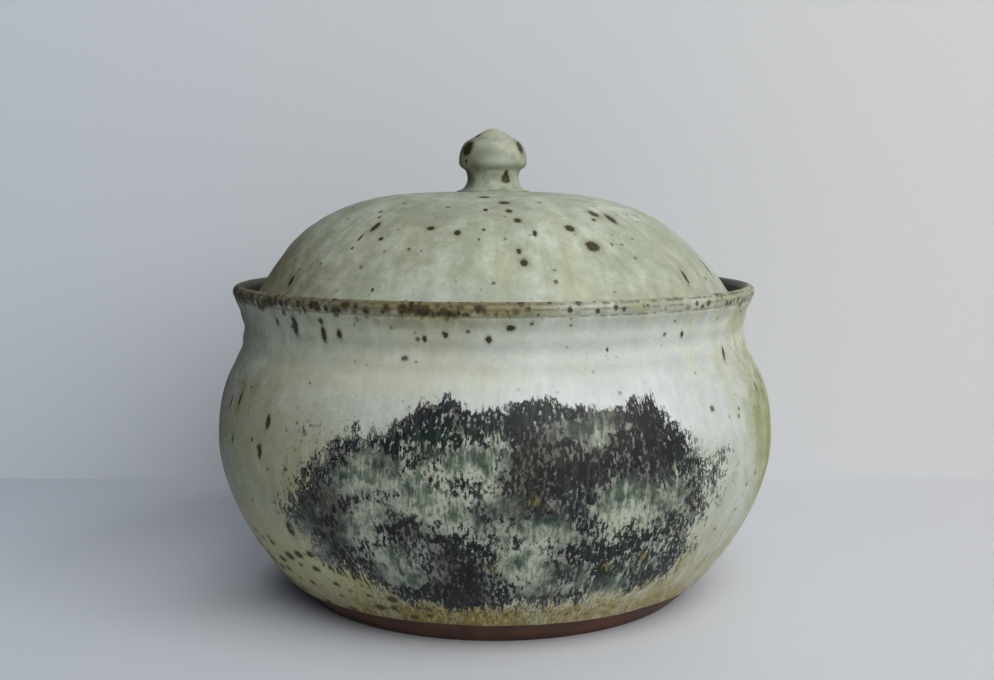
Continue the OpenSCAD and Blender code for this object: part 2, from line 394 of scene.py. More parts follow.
# Lid: thrown dome with a square edge that sits on the ledge
lid = {
    "gap": 1.5, "rise": 53.6, "edge": 2.5, "edgeRound": 1.5, "seat": 8, "seatCurve": 10, "domeLean": 34,
    "domePull": 32, "crownPull": 65, "padWidth": 35, "thick": 6, "rings": 0.08, "insideRings": 0.35,
    "ringPitch": 8.5, "ringSway": 0.8, "warp": 0.4, "outOfRound": 0.2, "marksAbove": 14,
    "marksWide": (22, 52), "domeLeft": 1.6, "leftFrom": (14, 34), "leftShoulder": 0.7, "shoulderReach": 70,
    "steps": 296}
lidR = galleryR - lid["gap"]
padZ = seatZ + lid["rise"]
edgeCorner = Vector((lidR, 0, seatZ + lid["edge"]))
edgeBlend = lid["edge"] - lid["edgeRound"]
domeFoot = edgeCorner + lean(-lid["domeLean"], edgeBlend)
padEdge = Vector((lid["padWidth"] / 2, 0, padZ))
lidEdge = rounded(Vector((lidR - lid["edgeRound"], 0, seatZ + lid["edgeRound"])), lid["edgeRound"], -90, 0, 7)
lidEdge += interpolate_bezier(lidEdge[-1], edgeCorner - up * edgeBlend / 3,
                              edgeCorner + lean(-lid["domeLean"], edgeBlend / 3), domeFoot, 6)[1:]
dome = interpolate_bezier(domeFoot, domeFoot + lean(-lid["domeLean"], lid["domePull"]),
                          padEdge + out * lid["crownPull"], padEdge, 80)
domeInside = [p for p in shifted(dome, lid["thick"]) if p.z > seatZ + lid["seatCurve"]]
seatEdge = Vector((lidR - lid["seat"], 0, seatZ))
seatPull = lid["seatCurve"] / 3
seatCurve = interpolate_bezier(seatEdge, seatEdge + up * seatPull,
                               domeInside[0] - headingAt(domeInside, 0) * seatPull, domeInside[0], 10)
padTop = [Vector((padEdge.x * share, 0, padZ)) for share in (0.66, 0.33, 0)]
padUnder = [Vector((padEdge.x * share, 0, padZ - lid["thick"])) for share in (0, 0.33, 0.66)]
seatFlat = [seatEdge.lerp(lidEdge[0], share) for share in (0.33, 0.66, 1)]
lidMesh = turnOnWheel([(1, lidEdge + dome[1:] + padTop),
                       (-1, padUnder + (seatCurve + domeInside[1:])[::-1]), (0, seatFlat)], lid["steps"])

for face in lidMesh.faces:
    middle = face.calc_center_median()
    isSeat = middle.z < seatZ + 0.9 and middle.xy.length > seatEdge.x - 2
    face.material_index = 1 if isSeat else 0

side = lidMesh.verts.layers.int["side"]
for vert in lidMesh.verts:
    width, turn, outwards = aroundAxis(vert.co)
    height = vert.co.z - seatZ
    if width > 1:
        ringed = lid["insideRings"] if vert[side] == -1 else lid["rings"]
        share = easeIn(height, 0, lid["marksAbove"]) * easeIn(width, *lid["marksWide"])
        bulge = lid["warp"] * share * (noise.noise(vert.co / 60) + 0.5 * noise.noise(vert.co / 25))
        ringTurn = math.tau * width / lid["ringPitch"] + lid["ringSway"] * math.sin(turn)
        wave = ringed * share * math.sin(ringTurn)
        vert.co += (outwards * 0.6 + up * 0.8) * (bulge + wave)
        vert.co += outwards * lid["outOfRound"] * math.sin(2 * turn + 2.2) * min(1, width / 60)
        vert.co.z += lid["leftShoulder"] * share * easeIn(-vert.co.x, 0, lid["shoulderReach"])
    vert.co.x -= pot["rimLeft"] + lid["domeLeft"] * easeIn(height, *lid["leftFrom"])
print("lid thrown:", len(lidMesh.faces), "faces")

# Knob: onion on a short waist, luted on the lid's pad with a flared collar
knob = {
    "collarThick": 0.6, "waistWidth": 24.8, "waistHeight": 6.5, "width": 33, "ballRise": 8, "capWidth": 24,
    "capRise": 10.3, "pointRise": 5.6, "left": 0.9, "outOfRound": 0.2, "crease": 0.45, "creaseUp": 3.9,
    "creaseWide": 1, "steps": 144}
collarTop = padEdge + up * knob["collarThick"]
waistSide = Vector((knob["waistWidth"] / 2, 0, padZ + knob["waistHeight"]))
fullSide = Vector((knob["width"] / 2, 0, waistSide.z + knob["ballRise"]))
capTurn = Vector((knob["capWidth"] / 2, 0, fullSide.z + knob["capRise"]))
knobTip = Vector((0, 0, capTurn.z + knob["pointRise"]))
pointWay = (knobTip - capTurn).normalized()
flare = collarTop - waistSide
collarEdge = [padEdge, padEdge.lerp(collarTop, 0.7) + out * 0.1, collarTop - out * 0.2 + up * 0.05]
knobOutside = collarEdge + interpolate_bezier(
    collarEdge[-1], collarEdge[-1] - out * roundK * flare.x,
    waistSide + up * roundK * flare.z, waistSide, 18)[1:]
knobOutside += interpolate_bezier(waistSide, waistSide + up * 0.6 * knob["ballRise"],
                                  fullSide - up * 0.45 * knob["ballRise"], fullSide, 20)[1:]
knobOutside += interpolate_bezier(fullSide, fullSide + up * 0.5 * knob["capRise"],
                                  capTurn - pointWay * knob["capRise"] / 3.5, capTurn, 18)[1:]
knobOutside += interpolate_bezier(capTurn, capTurn + pointWay * knob["capWidth"] / 5,
                                  knobTip + out * knob["capWidth"] / 6, knobTip, 16)[1:]
collarUnder = [Vector((padEdge.x * share, 0, padZ)) for share in (0, 0.5)]
knobMesh = turnOnWheel([(0, collarUnder), (1, knobOutside)], knob["steps"])
creaseZ = waistSide.z + knob["creaseUp"]
for vert in knobMesh.verts:
    width, turn, outwards = aroundAxis(vert.co)
    rise = (vert.co.z - padZ) / (knobTip.z - padZ)
    if width > 1:
        push = knob["outOfRound"] * rise * math.sin(2 * turn + 0.9)
        push -= knob["crease"] * bell(vert.co.z, creaseZ, knob["creaseWide"])
        vert.co += outwards * push
    vert.co.x -= knob["left"]
print("knob turned:", len(knobMesh.faces), "faces")


# Coordinates that every glaze reads, in millimetres
def surfaceMaps(tree, radius, rag=1.2):
    place = addNode(tree, "TexCoord")["Object"]
    point = addNode(tree, "VectorMath", {0: place, 3: perMetre}, "SCALE")[0]
    parts = addNode(tree, "SeparateXYZ", {0: point})
    towardsFront = addNode(tree, "Math", {0: parts["Y"], 1: -1}, "MULTIPLY")[0]
    turn = addNode(tree, "Math", {0: parts["X"], 1: towardsFront}, "ARCTAN2")[0]
    along = addNode(tree, "Math", {0: turn, 1: radius}, "MULTIPLY")[0]
    flat = addNode(tree, "CombineXYZ", {0: along, 1: parts["Z"]})[0]  # wall unrolled, front in the middle
    level = addNode(tree, "VectorMath", {0: point, 1: (1, 1, 0)}, "MULTIPLY")[0]
    around = addNode(tree, "VectorMath", {0: level}, "NORMALIZE")[0]
    high = addNode(tree, "VectorMath", {0: point, 1: (0, 0, 1)}, "MULTIPLY")[0]
    ring = addNode(tree, "VectorMath", {0: around, 1: (radius, radius, 0), 2: high}, "MULTIPLY_ADD")[0]
    running = addNode(tree, "VectorMath", {0: ring, 1: (1, 1, 0.16)}, "MULTIPLY")[0]  # drawn out down
    radiusHere = addNode(tree, "VectorMath", {0: level}, "LENGTH")["Value"]
    upright = addNode(tree, "MapRange", {0: radiusHere, 1: 30, 2: 75})[0]  # no streaks near the axis
    jitter = addNode(tree, "TexNoise", {"Vector": point, "Scale": 1 / 1.1, "Detail": 4})["Color"]
    shift = addNode(tree, "VectorMath", {0: jitter, 1: (0.5, 0.5, 0.5)}, "SUBTRACT")[0]
    rags = addNode(tree, "VectorMath", {0: shift, 3: rag}, "SCALE")[0]
    ragged = addNode(tree, "VectorMath", {0: point, 1: rags}, "ADD")[0]
    return {"point": point, "turn": turn, "height": parts["Z"], "flat": flat, "ring": ring, "rags": rags,
            "running": running, "ragged": ragged, "radius": radiusHere, "upright": upright, "size": radius,
            "rag": rag}


# Distance to the nearest iron spot, 1 at its edge. A spot is (degrees right of the front, place on the path,
# width, length); places are heights (axis 2) or distances from the middle (axis 0).
def spotField(tree, point, spots, path, axis):
    nearest = None
    for degrees, placeOnPath, width, length in spots:
        place, heading = crossing(path, axis, placeOnPath)
        turned = Matrix.Rotation(math.radians(degrees - 90), 3, "Z")
        across, along = turned @ Vector((0, 1, 0)), turned @ heading
        stand = Matrix((across, along, across.cross(along))).transposed()
        local = addNode(tree, "Mapping", {0: point, "Location": turned @ place, "Rotation": stand.to_euler(),
                                          "Scale": (width / 2, length / 2, 5)}, vector_type="TEXTURE")[0]
        away = addNode(tree, "VectorMath", {0: local}, "LENGTH")["Value"]
        if nearest is None:
            nearest = away
        else:
            nearest = addNode(tree, "Math", {0: nearest, 1: away}, "MINIMUM")[0]
    return nearest


# Soft-edged zone of the wall: 1 in its middle, 0 outside; the noise given roughens its edge
def zoneMask(tree, maps, degrees, height, halfWidth, halfHeight, roughen, amount):
    middle = (math.radians(degrees) * maps["size"], height, 0)
    local = addNode(tree, "Mapping", {0: maps["flat"], "Location": middle,
                                      "Scale": (halfWidth, halfHeight, 1)}, vector_type="TEXTURE")[0]
    away = addNode(tree, "VectorMath", {0: local}, "LENGTH")["Value"]
    rough = addShares(tree, away, (roughen, amount))
    return addNode(tree, "MapRange", {0: rough, 1: 1 + amount / 2, 2: 0.35 + amount / 2})[0]


# Washes of colour: (degrees right of the front, height, half width, half height, shade, strength)
def withWashes(tree, maps, colour, grain, washes):
    uneven = addNode(tree, "MapRange", {0: grain["patchy"], 1: 0.38, 2: 0.62, 3: 1, 4: 0.45})[0]
    for degrees, height, halfWidth, halfHeight, shade, most in washes:
        mask = zoneMask(tree, maps, degrees, height, halfWidth, halfHeight, grain["patchy"], 1.5)
        colour = coat(tree, colour, shade, mask, most, uneven)
    return addNode(tree, "HueSaturation", {"Value": grain["tone"], "Color": colour})[0]


# Small iron specks, one cell in a few; the cell's own shade sets its size
def ironSpecks(tree, point, cell, rarity, biggest, soft=0.7, dimensions="3D", scatter=1):
    cells = addNode(tree, "TexVoronoi", {"Vector": point, "Scale": 1 / cell, "Randomness": scatter},
                    voronoi_dimensions=dimensions)
    chance = addNode(tree, "SeparateColor", {0: cells["Color"]})[0]
    size = addNode(tree, "MapRange", {0: chance, 1: rarity, 2: 1, 4: biggest / cell})[0]
    inside = addNode(tree, "Math", {0: size, 1: cells["Distance"]}, "SUBTRACT")[0]
    return addNode(tree, "MapRange", {0: inside, 1: 0, 2: soft / cell})[0]


# Iron stoneware, bare and turned: dull dark red-brown with fine grit and faint tool lines
def bareStoneware(name, dark, light):
    material, tree = newMaterial(name)
    maps = surfaceMaps(tree, 100)
    patchy = addNode(tree, "TexNoise", {"Vector": maps["point"], "Scale": 1 / 14, "Detail": 3})[0]
    lines = addNode(tree, "VectorMath", {0: maps["ring"], 1: (0.02, 0.02, 1.4)}, "MULTIPLY")[0]
    toolLines = addNode(tree, "TexNoise", {"Vector": lines, "Scale": 1, "Detail": 2})[0]
    grit = addNode(tree, "TexNoise", {"Vector": maps["point"], "Scale": 1 / 0.9, "Detail": 3})[0]
    blend = addNode(tree, "Math", {0: patchy, 1: toolLines}, "ADD")[0]
    share = addNode(tree, "MapRange", {0: blend, 1: 0.8, 2: 1.2})[0]
    freckle = addNode(tree, "MapRange", {0: grit, 1: 0.6, 2: 0.72, 4: 0.55})[0]
    clay = coat(tree, coat(tree, dark, light, share), "#241b17", freckle)
    relief = addNode(tree, "Math", {0: grit, 1: toolLines}, "ADD")[0]
    bump = addNode(tree, "Bump", {"Height": relief, "Strength": 0.5, "Distance": 0.0003})[0]
    shader = addNode(tree, "BsdfPrincipled", {"Base Color": clay, "Roughness": 0.72, "Normal": bump})[0]
    addNode(tree, "OutputMaterial", {"Surface": shader})
    return material


# Satin celadon over stoneware: cloudy grey-green, milky blue where thick, ochre where thin
def celadonGround(tree, maps, look, ground):
    point, running, upright = maps["point"], maps["running"], maps["upright"]
    mottle = addNode(tree, "TexNoise", {"Vector": point, "Scale": 1 / look["mottle"], "Detail": 4,
                                        "Roughness": 0.6})[0]
    cloud = addNode(tree, "TexNoise", {"Vector": point, "Scale": 1 / 7, "Detail": 4, "Roughness": 0.65})[0]
    streak = addNode(tree, "TexNoise", {"Vector": running, "Scale": 1 / look["streak"], "Detail": 4})[0]
    streak = addNode(tree, "Mix", {0: upright, 2: cloud, 3: streak})[0]
    fine = addNode(tree, "TexNoise", {"Vector": point, "Scale": 1 / 1.2, "Detail": 2})[0]
    milk = addShares(tree, mottle, (streak, 0.5), (cloud, 0.4))
    milkShare = addNode(tree, "MapRange", {0: milk, 1: 0.84, 2: 1.14, 4: look["milkMost"]})[0]
    wide = addNode(tree, "TexNoise", {"Vector": running, "Scale": 1 / 15, "Detail": 5, "Roughness": 0.6})[0]
    wide = addNode(tree, "Mix", {0: upright, 2: mottle, 3: wide})[0]
    thin = addNode(tree, "MapRange", {0: wide, 1: 0.54, 2: 0.72, 4: look["thinMost"]})[0]
    colour = coat(tree, coat(tree, ground, look["milk"], milkShare), look["thin"], thin)
    shade = addShares(tree, cloud, (fine, 0.5))
    patchy = addNode(tree, "Mix", {0: 0.5, 2: wide, 3: cloud})[0]
    tone = addNode(tree, "MapRange", {0: shade, 1: 0.4, 2: 1.1, 3: 0.84, 4: 1.14})[0]
    relief = addShares(tree, fine, (cloud, 3))
    return colour, {"cloud": cloud, "patchy": patchy, "tone": tone, "relief": relief}


# Iron spots burnt through the glaze: dark olive with a browner middle, a ragged edge and a faint ochre halo,
# with scattered specks between them
def withIron(tree, maps, colour, spots, path, axis):
    ragged = maps["rag"] / 2
    near = spotField(tree, maps["ragged"], spots, path, axis)
    uneven = addNode(tree, "TexNoise", {"Vector": maps["point"], "Scale": 1 / 1.2, "Detail": 4})[0]
    near = addShares(tree, near, (uneven, ragged))
    near = addNode(tree, "Math", {0: near, 1: 0.45 - ragged / 2}, "ADD")[0]
    halo = addNode(tree, "MapRange", {0: near, 1: 2.3, 2: 1.2, 4: 0.55})[0]
    core = addNode(tree, "MapRange", {0: near, 1: 1.55, 2: 1.1})[0]
    depth = addNode(tree, "Math", {0: near, 1: 0.6}, "MULTIPLY")[0]
    burnt = addNode(tree, "ValToRGB", {0: depth},
                    stops=[(0.3, "#3d3620"), (0.84, "#14140a"), (0.62, "#272411")])[0]
    colour = coat(tree, coat(tree, colour, "#7f7d58", halo), burnt, core)
    specks = ironSpecks(tree, maps["ragged"], 5, 0.5, 1.4)
    return coat(tree, colour, "#3f3925", specks, 0.85)


def satinFinish(tree, colour, roughness, relief):
    bump = addNode(tree, "Bump", {"Height": relief, "Strength": 0.25, "Distance": 0.0002})[0]
    shader = addNode(tree, "BsdfPrincipled", {"Base Color": colour, "Roughness": roughness, "Normal": bump,
                                              "Specular IOR Level": 0.3})[0]
    addNode(tree, "OutputMaterial", {"Surface": shader})


# The gallery's bare clay is darker than the foot's: painted shade of the recess under the lid
clayMaterial = bareStoneware("bare iron stoneware", "#3a2318", "#5c331d")
galleryClayWithPaintedShade = bareStoneware("bare iron stoneware with painted shade", "#1f1a16", "#3a2c25")

# Lid and knob glaze: the celadon with its iron spots, cloudier on the crown and runny towards the edge
lidLook = {
    "ground": "#9aa18b", "milk": "#b6bdad", "thin": "#a6a57c", "mottle": 30, "streak": 4, "rag": 1.2,
    "milkMost": 0.95, "thinMost": 0.5,
    "washes": [
        # The washes at -62 and -32 degrees are painted shade on the lid's left side.
        (-6, 148, 34, 9, "#a9b5ab", 0.5), (-40, 152, 24, 10, "#a3aa94", 0.6),
        (34, 150, 40, 10, "#a9ae96", 0.4), (-14, 182, 60, 9, "#8f957f", 0.6),
        (125, 160, 50, 14, "#a3b0a8", 0.6), (-62, 152, 42, 22, "#857f62", 1),
        (54, 160, 50, 26, "#8d937b", 0.6), (-32, 165, 36, 20, "#8f927a", 0.5)],
    "spots": [
        (-36, 86, 3.6, 8), (-38, 92, 1.4, 5), (-31, 92, 2.6, 2.6), (-18, 86, 4, 3.4), (-10, 88, 3.4, 4),
        (-3, 86, 1.6, 1.8), (-4, 91, 1, 1.4), (-55, 108, 3.4, 6), (-27, 109, 1.4, 2), (26, 94, 7.4, 7),
        (22, 85, 5, 5.4), (36, 74, 4.6, 7), (41, 78, 4.4, 9), (33, 79, 2, 2.6), (7, 80, 3.4, 4),
        (5, 72, 3, 4), (11, 88, 2.2, 4), (6, 96, 2.4, 3.6), (7, 100, 3.6, 4.4), (52, 106, 2.6, 8),
        (71, 104, 2.2, 10), (-5, 51, 5.4, 6), (4, 62, 5, 5), (-3, 71, 2.4, 3), (130, 80, 6, 7),
        (165, 66, 4, 6), (200, 92, 7, 6), (235, 75, 4, 5), (265, 88, 5, 8), (150, 100, 3, 5),
        (110, 95, 4, 6), (215, 48, 5, 5)]}
knobLook = {
    "ground": "#8b917c", "milk": "#a6ada0", "thin": "#a09e76", "mottle": 14, "streak": 3, "rag": 0.8,
    "milkMost": 0.8, "thinMost": 0.6,
    # The wash at -64 degrees is painted shade on the knob's left side.
    "washes": [(10, 205, 60, 4, "#aab3ab", 0.6), (-64, 207, 60, 18, "#706f5a", 0.9)],
    "spots": [
        (-54, 212, 8, 8.6), (57, 213, 5.6, 7.4), (26, 197.2, 5.8, 3.6), (26, 198.4, 4.6, 4),
        (26, 199.8, 2.8, 4.4), (-52, 206, 2, 2.4), (-62, 218, 4, 3), (140, 211, 6, 6), (215, 203, 4, 5)]}


def lidGlaze(name, look, path, axis):
    material, tree = newMaterial(name)
    maps = surfaceMaps(tree, 90, look["rag"])
    colour, grain = celadonGround(tree, maps, look, look["ground"])
    colour = withWashes(tree, maps, colour, grain, look["washes"])
    colour = withIron(tree, maps, colour, look["spots"], path, axis)
    roughness = addNode(tree, "MapRange", {0: grain["cloud"], 1: 0.3, 2: 0.7, 3: 0.42, 4: 0.54})[0]
    satinFinish(tree, colour, roughness, grain["relief"])
    return material


lidMaterial = lidGlaze("satin celadon lid glaze", lidLook, dome, 0)
knobMaterial = lidGlaze("satin celadon knob glaze", knobLook, knobOutside, 2)

# Pot glaze: the celadon with an iron-burnt lip, ochre above the foot and one poured patch of dark iron glaze.
# Spots and washes are as above. The lip's bounds are turns from the front in radians, with a strength. A
# pattern of the pour is (width, squeeze along the height, slice of the noise, detail, how far up it is read).
potLook = {
    "mottle": 40, "streak": 3.6, "milk": "#b8beb2", "thin": "#a09e70", "inside": "#868d76", "milkMost": 0.9,
    "thinMost": 0.4,
    "heights": [
        (10, "#78632a"), (15, "#826f3a"), (23, "#958b59"), (45, "#9da082"), (80, "#9fa58f"),
        (108, "#a8ada0"), (120, "#b3b7a6"), (125, "#b0b4a2"), (131, "#a9ad99"), (134, "#abaf9a"),
        (141, "#90957c")],
    "spots": [
        (-43, 135.5, 3.8, 10), (-35, 133, 3.2, 8), (-35, 138.5, 2.6, 3), (-31, 133.6, 2.8, 4.4),
        (-49, 136, 2, 4), (-1, 133.5, 2.8, 3.6), (-9, 135, 2.2, 2.6), (-17, 125, 3, 2.2), (3, 138, 3.6, 3),
        (-13, 133.4, 2, 3), (40, 132, 2, 3), (55, 121, 2.4, 7), (22, 128, 1.2, 1.6), (44, 101, 3, 2.6),
        (-46, 95, 3.4, 7), (-48, 82, 3.4, 7), (-51, 86, 1.6, 2), (-60, 83, 2, 4), (-64, 98, 2, 7),
        (-59, 101, 2.2, 8), (-42, 50, 5, 8), (120, 105, 4, 7), (160, 88, 6, 5), (205, 118, 4, 8),
        (240, 75, 5, 7), (65, 104, 1.8, 6), (69, 100, 1.6, 7), (72, 106, 1.8, 5), (68, 108, 1.4, 4),
        (73, 92, 1.6, 6)],
    "washes": [
        (28, 131, 100, 15, "#bdc2c2", 0.8), (30, 106, 95, 22, "#b1b7b7", 0.8),
        (67, 88, 32, 44, "#777a2b", 1), (74, 60, 12, 28, "#8a7434", 0.8),
        (-56, 103, 22, 12, "#857d4a", 0.6), (-22, 117, 75, 9, "#c0c1a4", 0.7),
        # The wash at -50 degrees, 34 mm, is the glaze's yellow-green, made paler as painted light on the
        # lower left belly.
        (-12, 140, 32, 4, "#7d7039", 0.5), (-50, 34, 80, 26, "#c8c493", 0.9),
        (8, 16, 112, 10, "#8a7a3a", 1), (-44, 82, 50, 46, "#a2a075", 0.6), (46, 70, 44, 40, "#b2babb", 0.5),
        (145, 90, 50, 40, "#98985e", 0.6), (64, 134, 24, 11, "#959868", 1),
        # The washes at -70, -72 and -74 degrees are painted shade on the left flank, with a warmer olive
        # tone.
        (-70, 128, 46, 18, "#8b8872", 0.6), (-72, 100, 40, 22, "#8d8a6c", 0.5),
        (-74, 72, 40, 34, "#928c70", 0.5), (58, 112, 26, 16, "#a3a79a", 0.5)],
    "combed": [(0.5, 0.62, 34, 22, "#c2b883"), (0.47, 0.38, 27, 15, "#5d4a1e")],
    "dabs": {"zone": (-36, 26, 104, 24), "shade": "#433a1e"},
    "lip": {
        "bounds": {
            "leftFrom": (-2.9, -2.2, 1), "leftTo": (0.35, -0.05, 1), "rightFrom": (0.8, 1, 0.55),
            "rightTo": (2.2, 1.7, 1), "ochreFrom": (-0.55, -0.2, 1), "oliveFrom": (0.5, 0.8, 1)},
        "brown": "#6e6855", "ochre": "#776a3c", "olive": "#878a58", "dots": "#2b2514", "blots": "#35290f",
        "line": "#56523f", "innerShade": "#413f38", "lines": [(147.2, 0.75), (145, 0.5), (142.2, 0.5)]},
    "pour": {
        "middle": (8, 65), "half": (95, 44), "square": 2.5, "lobe": 30, "rag": 8, "seed": 450,
        "patterns": {
            "lobes": (36, 1, 11, 2), "rag": (5, 0.6, 23, 5), "runs": (3.2, 0.2, 37, 4),
            "hairs": (1.4, 0.24, 43, 3), "flecks": (1.3, 0.5, 41, 3), "tint": (40, 1, 73, 4),
            "thick": (34, 1.5, 91, 4), "higher": (34, 1.5, 91, 4, 9), "stipple": (1, 0.5, 29, 3),
            "pits": (1, 0.8, 57, 2), "cream": (1.1, 0.3, 67, 3)}}}


def pourPattern(tree, maps, seed, width, squeeze, noiseSlice, detail, readUp=0):
    spread = addNode(tree, "Mapping", {0: maps["flat"], "Scale": (1, squeeze, 1),
                                       "Location": (noiseSlice + seed, readUp * squeeze, noiseSlice)})[0]
    return addNode(tree, "TexNoise", {"Vector": spread, "Scale": 1 / width, "Detail": detail,
                                      "Roughness": 0.6})[0]


# How far a place lies inside the pour, in millimetres, and where the pour covers the glaze
def pourShape(tree, maps, look, marks):
    local = addNode(tree, "Mapping", {0: maps["flat"], "Location": (*look["middle"], 0),
                                      "Scale": (*look["half"], 1)}, vector_type="TEXTURE")[0]
    size = addNode(tree, "VectorMath", {0: local}, "ABSOLUTE")[0]
    sides = addNode(tree, "SeparateXYZ", {0: size})
    across = addNode(tree, "Math", {0: sides["X"], 1: look["square"]}, "POWER")[0]
    upwards = addNode(tree, "Math", {0: sides["Y"], 1: look["square"]}, "POWER")[0]
    both = addNode(tree, "Math", {0: across, 1: upwards}, "ADD")[0]
    away = addNode(tree, "Math", {0: both, 1: 1 / look["square"]}, "POWER")[0]
    depth = addNode(tree, "MapRange", {0: away, 1: 1, 2: 0, 3: 0, 4: look["half"][1]}, clamp=False)[0]
    field = addShares(tree, depth, (marks["lobes"], look["lobe"]), (marks["rag"], look["rag"]))
    field = addNode(tree, "Math", {0: field, 1: (look["lobe"] + look["rag"]) / 2}, "SUBTRACT")[0]

    # It drips most low down, and dissolves most at the sides
    low = addNode(tree, "MapRange", {0: maps["height"], 1: 70, 2: 25, 3: 4, 4: 18})[0]
    breakUp = addNode(tree, "MapRange", {0: sides["X"], 1: 0.5, 2: 1, 3: 12, 4: 34})[0]
    edge = field
    for mark, evenLevel, amount in ((marks["veins"], 1, low), (marks["flecks"], 0.5, breakUp)):
        mark = addNode(tree, "Math", {0: mark, 1: evenLevel}, "SUBTRACT")[0]
        edge = addShares(tree, edge, (mark, amount))
    return field, addNode(tree, "MapRange", {0: edge, 1: -0.6, 2: 1})[0]


# Pale veil above the patch, ochre fringe with dark flecks below it
def pourSkirts(tree, maps, colour, field, marks):
    veilTop = addNode(tree, "MapRange", {0: maps["height"], 1: 84, 2: 100})[0]
    veilRight = addNode(tree, "MapRange", {0: maps["turn"], 1: -0.5, 2: 0.05, 3: 0.3, 4: 1})[0]
    veil = addNode(tree, "MapRange", {0: field, 1: -20, 2: -2})[0]
    veilRuns = addNode(tree, "MapRange", {0: marks["runs"], 1: 0.3, 2: 0.7, 3: 0.2, 4: 0.85})[0]
    colour = coat(tree, colour, "#c9cfd0", veil, veilTop, veilRight, veilRuns)
    fringeLow = addNode(tree, "MapRange", {0: maps["height"], 1: 32, 2: 22})[0]
    fringe = addNode(tree, "MapRange", {0: field, 1: -24, 2: -4})[0]
    stipple = addNode(tree, "MapRange", {0: marks["stipple"], 1: 0.54, 2: 0.62, 4: 0.85})[0]
    return coat(tree, colour, "#43371a", fringe, fringeLow, stipple)


# Within the patch: black tinted brown, blue and green, thicker towards its edge
def pourInside(tree, maps, field, marks):
    tint, runs, hairs, flecks = [marks[name] for name in ("tint", "runs", "hairs", "flecks")]
    dark = addNode(tree, "ValToRGB", {0: tint},
                   stops=[(0.36, "#120f0f"), (0.64, "#0c1512"), (0.5, "#0e0f13")])[0]
    veinColour = addNode(tree, "ValToRGB", {0: tint},
                         stops=[(0.38, "#3f322c"), (0.62, "#2c4a3e"), (0.5, "#363d44")])[0]
    veinShare = addNode(tree, "MapRange", {0: marks["veins"], 1: 0.98, 2: 1.2, 4: 0.55})[0]
    dark = coat(tree, dark, veinColour, veinShare)

    # Windows where the glaze is thinnest, shaded from where it pools
    brim = addNode(tree, "MapRange", {0: field, 1: 0, 2: 14, 3: 0.1, 4: 0})[0]
    thick = addNode(tree, "Math", {0: marks["thick"], 1: brim}, "ADD")[0]
    thick = addShares(tree, thick, (runs, 0.2), (hairs, 0.12))
    stippled = addShares(tree, thick, (flecks, 0.22))
    openings = addNode(tree, "MapRange", {0: stippled, 1: 0.735, 2: 0.665})[0]
    pooling = addNode(tree, "Math", {0: marks["thick"], 1: marks["higher"]}, "SUBTRACT")[0]
    gradient = addShares(tree, runs, (hairs, 0.5), (pooling, 1.6), (marks["rag"], 0.5))
    windowColour = addNode(tree, "ValToRGB", {0: gradient}, stops=[(0.66, "#26312c"), (1.3, "#a5aa92"),
                                                                   (0.88, "#4c5e51"), (1.06, "#82907b")])[0]
    greener = addNode(tree, "MapRange", {0: tint, 1: 0.46, 2: 0.58, 4: 0.4})[0]
    windowColour = coat(tree, windowColour, "#6f8f70", greener)
    patch = coat(tree, dark, windowColour, openings)

    # Frosty flecks where it thins, dark pits, cream flecks in the windows and a few gold runs
    thinness = addNode(tree, "MapRange", {0: thick, 1: 0.8, 2: 0.6, 4: 0.2})[0]
    density = addNode(tree, "Math", {0: flecks, 1: thinness}, "ADD")[0]
    frost = addNode(tree, "MapRange", {0: density, 1: 0.59, 2: 0.69, 4: 0.85})[0]
    frosty = addNode(tree, "MapRange", {0: tint, 1: 0.42, 2: 0.58, 3: 0.25, 4: 1})[0]
    frostColour = addNode(tree, "ValToRGB", {0: gradient}, stops=[(0.7, "#39433e"), (1.2, "#b2b7a6")])[0]
    patch = coat(tree, patch, frostColour, frost, frosty)
    pits = addNode(tree, "MapRange", {0: marks["pits"], 1: 0.62, 2: 0.7, 4: 0.8})[0]
    patch = coat(tree, patch, dark, pits)
    cream = addNode(tree, "MapRange", {0: marks["cream"], 1: 0.56, 2: 0.65, 4: 0.85})[0]
    creamHere = addNode(tree, "MapRange", {0: gradient, 1: 0.8, 2: 1.15})[0]
    patch = coat(tree, patch, "#c9cab3", cream, creamHere, openings)
    gold = ironSpecks(tree, maps["flat"], 17, 0.6, 4, 3, "2D")
    goldRuns = addNode(tree, "MapRange", {0: hairs, 1: 0.45, 2: 0.6, 4: 0.7})[0]
    return coat(tree, patch, "#9c8a38", gold, goldRuns)


# Patch of thick iron glaze poured over the celadon: black-brown where it lies thick, frosty flecks where it
# thins and streaked grey-green windows where it is thinnest, all drawn downwards; ochre at the lower fringe
def ironPour(tree, maps, colour, look):
    marks = {name: pourPattern(tree, maps, look["seed"], *row) for name, row in look["patterns"].items()}
    marks["veins"] = addNode(tree, "Math", {0: marks["hairs"], 1: marks["runs"]}, "ADD")[0]
    field, cover = pourShape(tree, maps, look, marks)
    colour = pourSkirts(tree, maps, colour, field, marks)
    return coat(tree, colour, pourInside(tree, maps, field, marks), cover), cover


